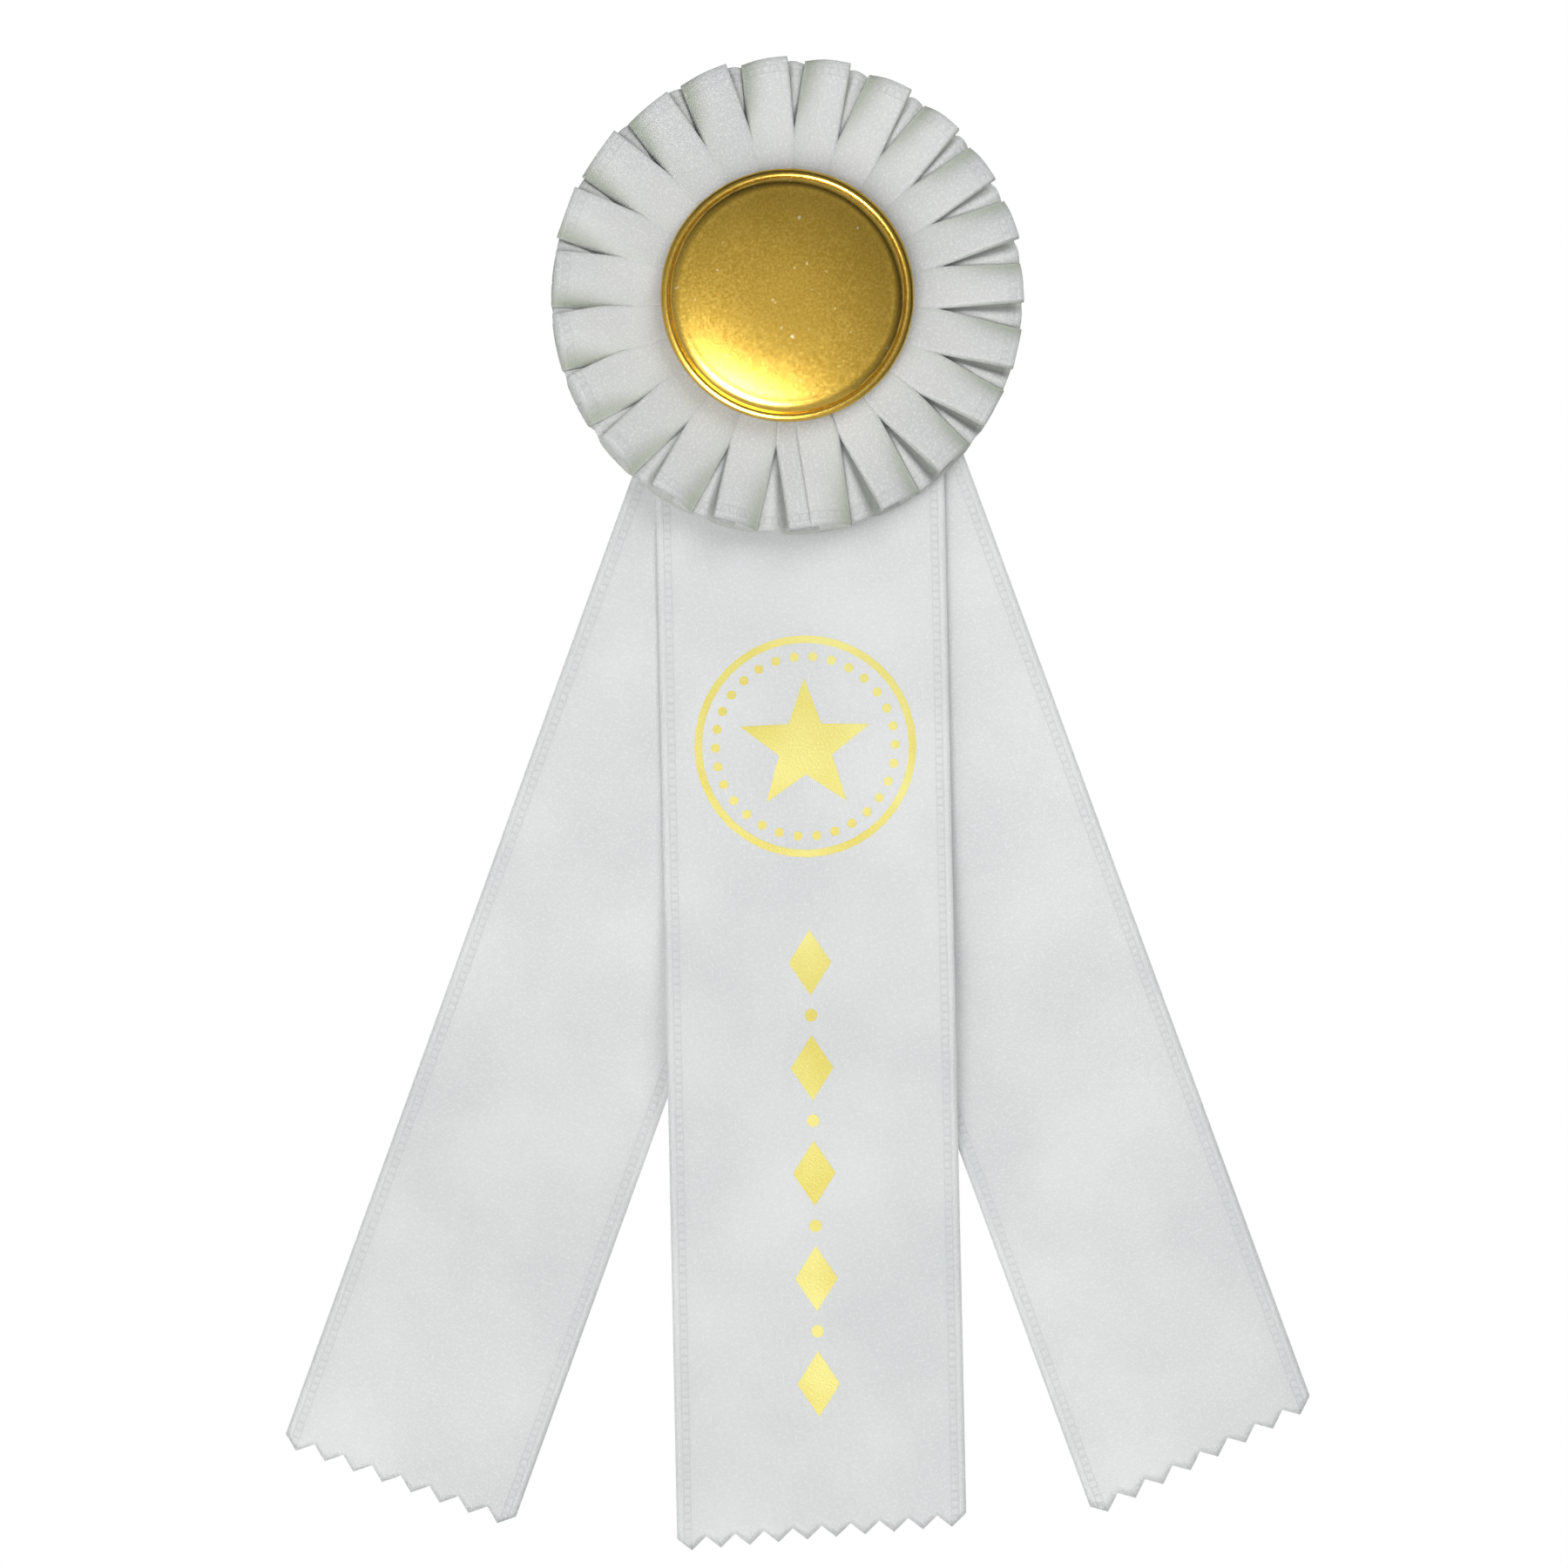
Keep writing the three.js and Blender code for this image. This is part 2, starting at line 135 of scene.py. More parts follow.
# Its greys, from behind the object to where it is brightest
ROOM_TONES = ((0.08, 0.5), (0.3, 0.04), (0.68, 0.33), (0.94, 0.62), (0.99, 2.2))


def make_camera():
    bpy.context.scene.view_settings.view_transform = "Standard"
    data = bpy.data.cameras.new("camera")
    data.lens = data.sensor_width * CAMERA_DISTANCE / VIEW_WIDTH
    camera = bpy.data.objects.new("camera", data)
    camera.location = (VIEW_SHIFT, CENTRE.y - CAMERA_DISTANCE, CENTRE.z - VIEW_DROP)
    camera.rotation_euler = (math.radians(90), 0, 0)
    bpy.context.scene.collection.objects.link(camera)
    bpy.context.scene.camera = camera


def make_light(name, place, aim, size, power):
    data = bpy.data.lights.new(name, "AREA")
    data.shape = "DISK"
    data.size = size
    data.energy = power
    light = bpy.data.objects.new(name, data)
    light.location = place
    light.rotation_euler = (Vector(aim) - Vector(place)).to_track_quat("-Z", "Y").to_euler()
    bpy.context.scene.collection.objects.link(light)
    return light


def make_world():
    """White behind the object, and for the rest a soft room that brightens towards the lower left."""
    world = bpy.data.worlds.new("studio")
    world.use_nodes = True
    bpy.context.scene.world = world
    nodes, links = world.node_tree.nodes, world.node_tree.links
    nodes.clear()
    direction = nodes.new("ShaderNodeTexCoord")
    low_left = nodes.new("ShaderNodeVectorMath")
    low_left.operation = "DOT_PRODUCT"
    low_left.inputs[1].default_value = ROOM_BRIGHT_WAY
    links.new(direction.outputs["Generated"], low_left.inputs[0])
    spread = nodes.new("ShaderNodeMapRange")
    spread.inputs["From Min"].default_value = -1
    links.new(low_left.outputs["Value"], spread.inputs["Value"])
    ramp = nodes.new("ShaderNodeValToRGB")
    stops = ramp.color_ramp.elements
    stops[0].position, stops[1].position = ROOM_TONES[0][0], ROOM_TONES[-1][0]
    for position, _ in ROOM_TONES[1:-1]:
        stops.new(position)
    for stop, (_, grey) in zip(stops, ROOM_TONES):
        stop.color = (grey, grey, grey, 1)
    links.new(spread.outputs[0], ramp.inputs[0])
    room = nodes.new("ShaderNodeBackground")
    links.new(ramp.outputs[0], room.inputs[0])
    backdrop = nodes.new("ShaderNodeBackground")
    backdrop.inputs[0].default_value = (1, 1, 1, 1)
    seen = nodes.new("ShaderNodeLightPath")
    mix = nodes.new("ShaderNodeMixShader")
    links.new(seen.outputs["Is Camera Ray"], mix.inputs[0])
    links.new(room.outputs[0], mix.inputs[1])
    links.new(backdrop.outputs[0], mix.inputs[2])
    output = nodes.new("ShaderNodeOutputWorld")
    links.new(mix.outputs[0], output.inputs[0])


def make_lights():
    aim = CENTRE + Vector((0, 0, -LIGHT_DROP))
    for name, (way, size, power) in CLOTH_LIGHTS.items():
        make_light(name, aim + Vector(way), aim, size, power).visible_glossy = False
    way, size, power = BACK_LIGHT
    make_light("back", aim + Vector(way), aim, size, power)
    for name, (way, size, power) in BUTTON_LIGHTS.items():
        make_light(name, CENTRE + Vector(way), CENTRE, size, power).visible_diffuse = False


def make_floor():
    z = CAD_BOX[0][2] - FLOOR_DROP
    mesh = bpy.data.meshes.new("floor")
    corners = [(x * FLOOR_SIZE, y * FLOOR_SIZE, z) for x, y in ((-1, -1), (1, -1), (1, 1), (-1, 1))]
    mesh.from_pydata(corners, [], [(0, 1, 2, 3)])
    floor = bpy.data.objects.new("floor", mesh)
    bpy.context.scene.collection.objects.link(floor)
    mesh.materials.append(Shader("floor", Base_Color=(0.85, 0.85, 0.84, 1)).material)


# ---- materials ---------------------------------------------------------------------------------------------


class Shader:
    """A material and the few calls that its nodes are built with."""

    def __init__(self, name, **settings):
        self.material = bpy.data.materials.new(name)
        self.material.use_nodes = True
        self.tree = self.material.node_tree
        self.surface = self.tree.nodes["Principled BSDF"]
        for key, value in settings.items():
            self.surface.inputs[key.replace("_", " ")].default_value = value

    def node(self, kind, **settings):
        made = self.tree.nodes.new("ShaderNode" + kind)
        for key, value in settings.items():
            setattr(made, key, value)
        return made

    def link(self, source, target):
        self.tree.links.new(source, target)

    def math(self, operation, a, b=0.0):
        made = self.node("Math", operation=operation)
        for socket, value in zip(made.inputs, (a, b)):
            if isinstance(value, (int, float)):
                socket.default_value = value
            else:
                self.link(value, socket)
        return made.outputs[0]

    def noise(self, coordinates, scale, detail=2.0):
        made = self.node("TexNoise")
        made.inputs["Scale"].default_value = scale
        made.inputs["Detail"].default_value = detail
        self.link(coordinates, made.inputs["Vector"])
        return made.outputs["Fac"]

    def ramp(self, value, *stops):
        """A colour ramp through (position, colour) stops."""
        made = self.node("ValToRGB")
        elements = made.color_ramp.elements
        while len(elements) < len(stops):
            elements.new(0.5)
        for element, (position, colour) in zip(elements, stops):
            element.position = position
            element.color = (*colour, 1)
        self.link(value, made.inputs[0])
        return made.outputs[0]

    def mix(self, share, a, b):
        made = self.node("Mix", data_type="RGBA")
        for socket, value in zip((made.inputs[0], made.inputs[6], made.inputs[7]), (share, a, b)):
            if isinstance(value, (float, int)):
                socket.default_value = value
            elif isinstance(value, tuple):
                socket.default_value = (*value, 1)
            else:
                self.link(value, socket)
        return made.outputs[2]

    def bump(self, height, depth, below=None):
        made = self.node("Bump")
        made.inputs["Distance"].default_value = depth
        self.link(height, made.inputs["Height"])
        if below is not None:
            self.link(below, made.inputs["Normal"])
        return made.outputs[0]

    def place(self):
        return self.node("TexCoord").outputs["Object"]

    def colour(self, value):
        self.link(value, self.surface.inputs["Base Color"])

    def roughness(self, value, low, high):
        made = self.node("MapRange")
        made.inputs["To Min"].default_value = low
        made.inputs["To Max"].default_value = high
        self.link(value, made.inputs["Value"])
        self.link(made.outputs[0], self.surface.inputs["Roughness"])

    def normal(self, value):
        self.link(value, self.surface.inputs["Normal"])


THREAD = 0.28 * MM  # the pitch of the satin's visible threads
RUNG = 1.45 * MM  # the pitch of the rungs in the selvedge
SELVEDGE = (1.2 * MM, 2.6 * MM)  # the band's two edges, from the ribbon's edge
SATIN_TONES = ((0.70, 0.718, 0.722), (0.785, 0.797, 0.794))
SATIN_GLINT = (0.93, 0.94, 0.935)
SELVEDGE_SHADE = (0.4, 0.44, 0.46)
# FOLD_SHADE is painted shade: the ruff's ribbon darkens towards this olive in its folds and on its pleats'
# rolled edges, most at the rim.
FOLD_SHADE = (0.40, 0.45, 0.33)
RUFF_SHADE_TONE = 0.85  # the ruff's satin against the streamers', darker as painted shade


def satin_material(name, width, tone=1.0):
    """White satin. Its UV map gives metres across the ribbon, from one edge, and metres along it, and its
    attribute `fold` is painted shade, darkest deep in the ruff's folds."""
    s = Shader(name, Specular_IOR_Level=0.15, Sheen_Weight=0.2, Sheen_Roughness=0.4, Anisotropic=0.45)
    cloth = s.node("UVMap", uv_map="cloth").outputs[0]
    split = s.node("SeparateXYZ")
    s.link(cloth, split.inputs[0])
    across, along = split.outputs[0], split.outputs[1]

    threads = s.math("SINE", s.math("MULTIPLY", across, 2 * math.pi / THREAD))
    slubs = s.noise(cloth, 1 / (0.5 * MM), 2.0)
    clouds = s.noise(cloth, 1 / (30 * MM), 2.0)
    # A tone below 1 gives a darker copy of the satin, as painted shade.
    dull, fair = (tuple(tone * c for c in shade) for shade in SATIN_TONES)
    satin = s.ramp(clouds, (0.36, dull), (0.64, fair))
    sparkle = s.ramp(slubs, (0.48, (0, 0, 0)), (0.72, (0.7, 0.7, 0.7)))
    speckled = s.mix(s.math("MULTIPLY", sparkle, 0.6), satin, SATIN_GLINT)

    from_edge = s.math("SUBTRACT", width / 2, s.math("ABSOLUTE", s.math("SUBTRACT", across, width / 2)))
    middle, half = (SELVEDGE[0] + SELVEDGE[1]) / 2, (SELVEDGE[1] - SELVEDGE[0]) / 2
    off_middle = s.math("DIVIDE", s.math("ABSOLUTE", s.math("SUBTRACT", from_edge, middle)), half)
    band = s.math("LESS_THAN", off_middle, 1.0)
    rails = s.math("MULTIPLY", band, s.math("GREATER_THAN", off_middle, 0.75))
    rungs = s.math("GREATER_THAN", s.math("SINE", s.math("MULTIPLY", along, 2 * math.pi / RUNG)), 0.6)
    sunk = s.math("MAXIMUM", rails, s.math("MULTIPLY", band, rungs))
    shaded = s.mix(s.math("MULTIPLY", sunk, 0.2), speckled, SELVEDGE_SHADE)
    # Painted shade in the ruff's folds and on its pleats' rolled edges.
    folded = s.node("Attribute", attribute_name="fold").outputs["Fac"]
    s.colour(s.mix(folded, shaded, FOLD_SHADE))
    s.roughness(slubs, 0.42, 0.6)

    fine = s.bump(s.math("ADD", s.math("MULTIPLY", threads, 0.25), slubs), 0.05 * MM)
    s.normal(s.bump(s.math("MULTIPLY", sunk, -1.0), 0.1 * MM, fine))
    return s.material


def gold_material():
    """Gold lacquer on pressed metal: fine grain, a few bright flecks, and slow changes of tone."""
    s = Shader("gold_metal", Metallic=1.0)
    place = s.place()
    grain = s.noise(place, 2200, 2.0)
    flecks = s.noise(place, 700, 1.0)
    tone = s.noise(place, 70, 3.0)
    base = s.ramp(tone, (0.35, (0.59, 0.38, 0.06)), (0.7, (0.66, 0.43, 0.075)))
    grained = s.mix(s.ramp(grain, (0.4, (0, 0, 0)), (0.7, (0.26, 0.26, 0.26))), base, (0.90, 0.67, 0.2))
    bright = s.ramp(flecks, (0.73, (0, 0, 0)), (0.8, (0.8, 0.8, 0.8)))
    s.colour(s.mix(bright, grained, (0.98, 0.86, 0.5)))
    s.roughness(grain, 0.17, 0.28)
    s.normal(s.bump(grain, 0.004 * MM))
    return s.material


def plated_material(name, dark, light, low, high):
    """Plated steel: fine drawn lines, cloudy plating, and specks of wear."""
    s = Shader(name, Metallic=1.0)
    place = s.place()
    stretched = s.node("Mapping")
    stretched.inputs["Scale"].default_value = (40, 900, 900)
    s.link(place, stretched.inputs[0])
    lines = s.noise(stretched.outputs[0], 4.0, 3.0)
    clouds = s.noise(place, 240, 4.0)
    worn = s.ramp(s.noise(place, 1300, 2.0), (0.66, (0, 0, 0)), (0.74, (1, 1, 1)))
    plating = s.ramp(clouds, (0.3, dark), (0.7, light))
    s.colour(s.mix(s.math("MULTIPLY", worn, 0.5), plating, (0.42, 0.4, 0.37)))
    s.roughness(lines, low, high)
    s.normal(s.bump(lines, 0.01 * MM))
    return s.material


def card_material():
    """Smooth white board with faint fibres."""
    s = Shader("card", Roughness=0.8, Sheen_Weight=0.08)
    place = s.place()
    fibres = s.node("Mapping")
    fibres.inputs["Scale"].default_value = (1, 1, 4)
    s.link(place, fibres.inputs[0])
    strands = s.noise(fibres.outputs[0], 900, 4.0)
    clouds = s.noise(place, 60, 3.0)
    base = s.ramp(clouds, (0.3, (0.80, 0.79, 0.755)), (0.7, (0.86, 0.855, 0.83)))
    s.colour(s.mix(s.math("MULTIPLY", strands, 0.45), base, (0.66, 0.64, 0.58)))
    s.roughness(strands, 0.7, 0.9)
    s.normal(s.bump(strands, 0.03 * MM))
    return s.material


def foil_material():
    """Pale gold foil, thin enough for the weave to break it up."""
    s = Shader("foil", Metallic=0.08, Specular_IOR_Level=0.12)
    cloth = s.node("UVMap", uv_map="cloth").outputs[0]
    weave = s.noise(cloth, 1 / (0.4 * MM), 3.0)
    tone = s.noise(cloth, 1 / (22 * MM), 2.0)
    foil = s.ramp(tone, (0.38, (0.68, 0.58, 0.12)), (0.62, (0.78, 0.72, 0.24)))
    s.colour(s.mix(s.ramp(weave, (0.45, (0, 0, 0)), (0.75, (0.5, 0.5, 0.5))), foil, (0.84, 0.78, 0.31)))
    s.roughness(weave, 0.4, 0.6)
    s.normal(s.bump(weave, 0.05 * MM))
    return s.material


# ---- mesh helpers ------------------------------------------------------------------------------------------


def new_piece(name, points, faces, material, uvs=None, flat=False):
    mesh = bpy.data.meshes.new(name)
    mesh.from_pydata(points, [], faces)
    mesh.materials.append(material)
    if uvs is not None:
        layer = mesh.uv_layers.new(name="cloth")
        for loop in mesh.loops:
            layer.data[loop.index].uv = uvs[loop.vertex_index]
    if not flat:
        mesh.shade_smooth()
    piece = bpy.data.objects.new(name, mesh)
    bpy.context.scene.collection.objects.link(piece)
    return piece


def grid_faces(rows, columns, closed=False):
    """The quads of a grid of points, listed row by row; closed joins the last column to the first."""
    steps = columns if closed else columns - 1
    faces = []
    for row in range(rows - 1):
        here, above = row * columns, (row + 1) * columns
        for left in range(steps):
            right = (left + 1) % columns
            faces.append((here + left, here + right, above + right, above + left))
    return faces


def thicken(piece, thickness):
    """Gives a sheet its thickness, half to each side."""
    modifier = piece.modifiers.new("thickness", "SOLIDIFY")
    modifier.thickness = thickness
    modifier.offset = 0
    settle(piece)


def settle(piece):
    """Applies a piece's modifiers."""
    graph = bpy.context.evaluated_depsgraph_get()
    mesh = bpy.data.meshes.new_from_object(piece.evaluated_get(graph))
    piece.modifiers.clear()
    piece.data = mesh


def turned(name, profile, rear, material, steps=160):
    """A round piece about the rosette's axis. Its profile gives radii and heights in front of y = rear."""
    rings = [(r, h) for r, h in profile if r > 0]
    points = [
        (CENTRE.x + r * math.cos(a), rear - h, CENTRE.z + r * math.sin(a))
        for r, h in rings
        for a in (2 * math.pi * i / steps for i in range(steps))
    ]
    faces = grid_faces(len(rings), steps, closed=True)
    for (r, h), ring in ((profile[0], 0), (profile[-1], len(rings) - 1)):
        if r == 0:
            points.append((CENTRE.x, rear - h, CENTRE.z))
            rim = [ring * steps + i for i in range(steps)]
            faces += [(rim[i], rim[(i + 1) % steps], len(points) - 1) for i in range(steps)]
    piece = new_piece(name, points, faces, material)
    face_outwards(piece)
    return piece


def face_outwards(piece):
    shape = bmesh.new()
    shape.from_mesh(piece.data)
    bmesh.ops.recalc_face_normals(shape, faces=shape.faces)
    shape.to_mesh(piece.data)
    shape.free()


def arc(centre_x, centre_y, radius, start, end, steps):
    """Points on an arc, with its angles in degrees."""
    angles = (math.radians(start + (end - start) * i / steps) for i in range(steps + 1))
    return [(centre_x + radius * math.cos(a), centre_y + radius * math.sin(a)) for a in angles]


# ---- streamers ---------------------------------------------------------------------------------------------


class Streamer:
    """One ribbon: where a point across and down it lies, with its slow waves."""

    STEP = 1.6 * MM
    COLUMNS_PER_TOOTH = 6
    END_LENGTH = 8 * MM  # the stretch above the pinked end whose rows turn to meet it
    END_ROWS = 6
    SWAY = (105 * MM, 0.7 * MM, 0.5)  # the length, height and start of the wave that all three share
    CURL = 1.2 * MM  # how far the lower corners stand off
    CURL_LENGTH = 70 * MM
    BEND_REACH = 9 * MM  # how far above and below the ruff's hem a bend in the ribbon would reach

    def __init__(self, side, forward, waves):
        for key, value in STREAMERS[side].items():
            setattr(self, key, value)
        self.side = side
        self.forward = forward  # its own waves bulge forwards (1) or backwards (-1), clear of its neighbours
        self.waves = waves  # the length, height and start of its own waves
        self.layer = middle_of(f"{side}_streamer_head").y
        self.angle = math.radians(self.lean)

    def point(self, across, down, lift=0.0):
        x = self.start_x + across * math.cos(self.angle) + down * math.sin(self.angle)
        drop = down * math.cos(self.angle) - across * math.sin(self.angle)
        length, height, start = self.SWAY
        shared = height * math.sin(2 * math.pi * drop / length + start) * smooth(40 * MM, 90 * MM, drop)
        length, height, start = self.waves
        turn = 2 * math.pi * down / length + start + 1.1 * across / self.width
        own = height * (1 - math.cos(turn)) * smooth(70 * MM, 150 * MM, drop)
        curl = self.CURL * (2 * across / self.width) ** 2
        curl *= smooth(self.length - self.CURL_LENGTH, self.length, down)
        y = self.layer + shared - self.forward * (own + curl) - lift
        return Vector((x, y, CENTRE.z - drop))

    def end(self, across):
        """How far down the pinked end is."""
        teeth = (across / self.width + 0.5) * self.teeth
        tooth = TOOTH_DEPTH * (2 * abs(teeth - math.floor(teeth) - 0.5) - 0.5)
        return self.length - across * math.tan(math.radians(self.cut)) - tooth

    def build(self, material):
        columns = self.teeth * self.COLUMNS_PER_TOOTH + 1
        plain = self.length - self.END_LENGTH - self.width * math.tan(math.radians(abs(self.cut))) / 2
        rows = round((plain + HEAD_RISE) / self.STEP)
        points, uvs = [], []
        for r in range(rows + self.END_ROWS + 1):
            for c in range(columns):
                across = self.width * (c / (columns - 1) - 0.5)
                down = -HEAD_RISE + (plain + HEAD_RISE) * min(r, rows) / rows
                down += (self.end(across) - plain) * max(0, r - rows) / self.END_ROWS
                points.append(self.point(across, down))
                uvs.append((across + self.width / 2, down + HEAD_RISE))
        faces = grid_faces(rows + self.END_ROWS + 1, columns)
        piece = new_piece(f"{self.side}_streamer", points, faces, material, uvs)
        thicken(piece, SATIN_SHEET)
        self.hang(piece)
        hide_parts(f"{self.side}_streamer_head", f"{self.side}_streamer_tail")

    def hang(self, piece):
        """Bakes a piece of this streamer's placement into its mesh."""
        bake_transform(piece)


def make_streamers():
    made = {}
    for side, forward, waves in (
        ("centre", 1, (88 * MM, 0.9 * MM, 0.3)),
        ("left", -1, (104 * MM, 1.0 * MM, 1.2)),
        ("right", -1, (96 * MM, 1.1 * MM, 2.4)),
    ):
        streamer = Streamer(side, forward, waves)
        streamer.build(satin_material(f"satin_{side}", streamer.width))
        made[side] = streamer
    return made


# ---- foil print --------------------------------------------------------------------------------------------
# Shapes are lists of simple polygons in millimetres, which may overlap: they are joined when they are filled.


def half_ring(outer, inner, start):
    return arc(0, 0, outer, start, start + 180, 20) + arc(0, 0, inner, start + 180, start, 20)


def dot(x, y, radius):
    """A circle of 24 points, without the first one again at its end."""
    return arc(x, y, radius, 0, 345, 23)


def star(outer, inner, points=5):
    """A star with one point straight up."""
    radii = (outer, inner) * points
    turns = (math.pi * (0.5 + i / points) for i in range(2 * points))
    return [(r * math.cos(a), r * math.sin(a)) for r, a in zip(radii, turns)]


def lozenge(width, height):
    return [(width / 2, 0), (0, height / 2), (-width / 2, 0), (0, -height / 2)]


FILL_STEP = 1.4 * MM  # the print is cut this small, so that it follows the ribbon's waves
FOIL_SHEET = 0.03 * MM


def anticlockwise(polygon):
    pairs = zip(polygon, polygon[1:] + polygon[:1])
    area = sum(a[0] * b[1] - b[0] * a[1] for a, b in pairs)
    return polygon if area > 0 else polygon[::-1]


def printed(name, streamer, polygons, material):
    """Fills polygons, given in metres across and down the streamer, and lays them on its front."""
    points, edges, faces = [], [], []
    for polygon in polygons:
        faces.append(list(range(len(points), len(points) + len(polygon))))
        points += [Vector(p) for p in anticlockwise(polygon)]
    low = [min(p[i] for p in points) for i in (0, 1)]
    high = [max(p[i] for p in points) for i in (0, 1)]
    for axis in (0, 1):
        for i in range(1, math.ceil((high[axis] - low[axis]) / FILL_STEP)):
            at = low[axis] + i * FILL_STEP
            ends = [(at, low[1]), (at, high[1])] if axis == 0 else [(low[0], at), (high[0], at)]
            edges.append((len(points), len(points) + 1))
            points += [Vector(p) for p in ends]
    flat, _, triangles, _, _, owners = delaunay_2d_cdt(points, edges, faces, 0, 1e-7)
    kept = [t for t, owner in zip(triangles, owners) if owner]
    lift = SATIN_SHEET / 2 + FOIL_SHEET
    placed = [streamer.point(p.x, p.y, lift) for p in flat]
    uvs = [(p.x + streamer.width / 2, p.y + HEAD_RISE) for p in flat]
    piece = new_piece(name, placed, kept, material, uvs, flat=True)
    shape = bmesh.new()
    shape.from_mesh(piece.data)
    loose = [v for v in shape.verts if not v.link_faces]
    bmesh.ops.delete(shape, geom=loose, context="VERTS")
    for face in shape.faces:
        face.normal_update()
    if sum(face.normal.y for face in shape.faces) > 0:
        bmesh.ops.reverse_faces(shape, faces=shape.faces)
    shape.to_mesh(piece.data)
    shape.free()
    thicken(piece, FOIL_SHEET)
    streamer.hang(piece)


# The ornament, in millimetres
MEDALLION_DOWN = 79  # the middle of the ring, down the streamer
RING = (19.5, 18.2)  # the ring's outer and inner radius
BEAD_CIRCLE = 15.8
BEADS = 30
BEAD = 0.8  # each bead's radius
STAR = (12, 4.9)  # the radius of its points and of the corners between them
LOZENGES = 5
LOZENGE = (7.5, 11.5)  # its width and height
LOZENGE_DOWN = 117  # the middle of the first
LOZENGE_PITCH = 18.5
SPACER = 1.1  # the radius of the dots between the lozenges


def on_ribbon(polygons, down):
    """Turns polygons in millimetres about a point on the streamer's axis into metres across and down it."""
    return [[(x * MM, (down - y) * MM) for x, y in polygon] for polygon in polygons]


def medallion():
    """A plain ring, a circle of beads and a star."""
    ring = [half_ring(*RING, start) for start in (-90, 90)]
    turns = (2 * math.pi * i / BEADS for i in range(BEADS))
    beads = [dot(BEAD_CIRCLE * math.cos(a), BEAD_CIRCLE * math.sin(a), BEAD) for a in turns]
    return ring + beads + [star(*STAR)]


def make_print(streamer, material):
    """A wordless ornament: a star in a beaded ring above a column of lozenges with dots between them."""
    printed("print_medallion", streamer, on_ribbon(medallion(), MEDALLION_DOWN), material)
    for i in range(LOZENGES):
        down = LOZENGE_DOWN + i * LOZENGE_PITCH
        printed(f"print_lozenge_{i + 1}", streamer, on_ribbon([lozenge(*LOZENGE)], down), material)
    for i in range(LOZENGES - 1):
        down = LOZENGE_DOWN + (i + 0.5) * LOZENGE_PITCH
        printed(f"print_dot_{i + 1}", streamer, on_ribbon([dot(0, 0, SPACER)], down), material)


# ---- ruff --------------------------------------------------------------------------------------------------

PLEATS = 22
RUFF_SEED = 237406  # searched for, so that the uneven pleats fall close to the real ruff's
FULL_SIDE = math.radians(262)  # where the pleats are widest, clockwise from the top
LEAN_SIDE = math.radians(325)  # where the layers between them bulge most to one side
JOIN_MIDDLE = math.radians(172)  # the wide pleat where the ribbon's ends meet, clockwise from the top
JOIN_PITCH = math.radians(24.8)
JOIN_HALF = 5.2 * MM
JOIN_END = 1.8 * MM  # where the upper end is cut, past that pleat's middle
JOIN_START = -1.2 * MM  # and the end that lies under it
JOIN_LIFT = 0.35 * MM
PLEAT_HALF = 3.65 * MM  # half the width of a pleat's front panel
PANEL_GAP = 0.08 * MM  # what is kept between panels that meet
PLEAT_RISE = 4 * MM  # the height of a pleat at the rim
PLEAT_PRESS = 2.3 * MM  # and where the button holds it
SLIT = 0.25 * MM  # from a pleat's middle to the fold behind it
FOLD = 0.4 * MM  # how far a fold bulges
TUCK = 0.3  # the height of the layer tucked behind a pleat at its slit, as a share of the pleat's height
RAISED_EDGE = 0.62  # and of its outer end, behind the pleat's raised edge
ROLLED_EDGE = 0.8  # and behind the rolled edge, as a share of the height at the slit
RUFF_SHEET = 0.15 * MM
RUFF_SLUMP = Vector((0.4 * MM, 0, 1.2 * MM))  # how far the pleats' fronts lean over their backs
RUFF_ROWS = 20


class Pleat:
    """One box pleat: where it lies, how wide its front panel is and how high it stands."""

    def __init__(self, middle, pitch, half, rise, hem):
        self.middle = middle  # its angle, clockwise from the top
        self.pitch = pitch
        self.half = half
        self.rise = rise
        self.hem = hem  # how far its end stands out past the others'
        self.lean = math.cos(middle - LEAN_SIDE)  # which way the layer beside it bulges

    def width_at(self, radius):
        """Half the front panel's width, which is cut short where the panels meet."""
        return min(self.half, radius * math.tan(self.pitch / 2) - PANEL_GAP)

    def height_at(self, radius):
        rise = smooth(0.55 * RUFF_RADIUS, RUFF_RADIUS, radius)
        return PLEAT_PRESS + (self.rise - PLEAT_PRESS) * rise


def plan_pleats():
    """Pleats of uneven pitch and width round the ruff, starting with the wide one at the join."""
    draw = random.Random(RUFF_SEED)
    pitches = [1 + draw.uniform(-0.12, 0.12) for _ in range(PLEATS - 1)]
    share = (2 * math.pi - JOIN_PITCH) / sum(pitches)
    edge = JOIN_MIDDLE + JOIN_PITCH / 2
    pleats = [Pleat(JOIN_MIDDLE, JOIN_PITCH, JOIN_HALF, PLEAT_RISE, 0)]
    for pitch in (p * share for p in pitches):
        middle = edge + pitch / 2
        edge += pitch
        fullness = 0.11 * math.cos(middle - FULL_SIDE) + draw.uniform(-0.06, 0.06)
        rise = PLEAT_RISE * (1 + draw.uniform(-0.1, 0.12))
        pleats.append(Pleat(middle, pitch, PLEAT_HALF * (1 + fullness), rise, draw.uniform(-0.3, 0.3) * MM))
    return pleats


def fold(across, level, to_level, side):
    """Points round a fold in the ribbon that bulges to one side."""
    steps = 4
    middle, swing = (level + to_level) / 2, (level - to_level) / 2
    turns = (math.pi * i / steps for i in range(1, steps))
    # Each point's third value is its painted shade.
    return [(across + side * FOLD * math.sin(a), middle + swing * math.cos(a), 0.4) for a in turns]


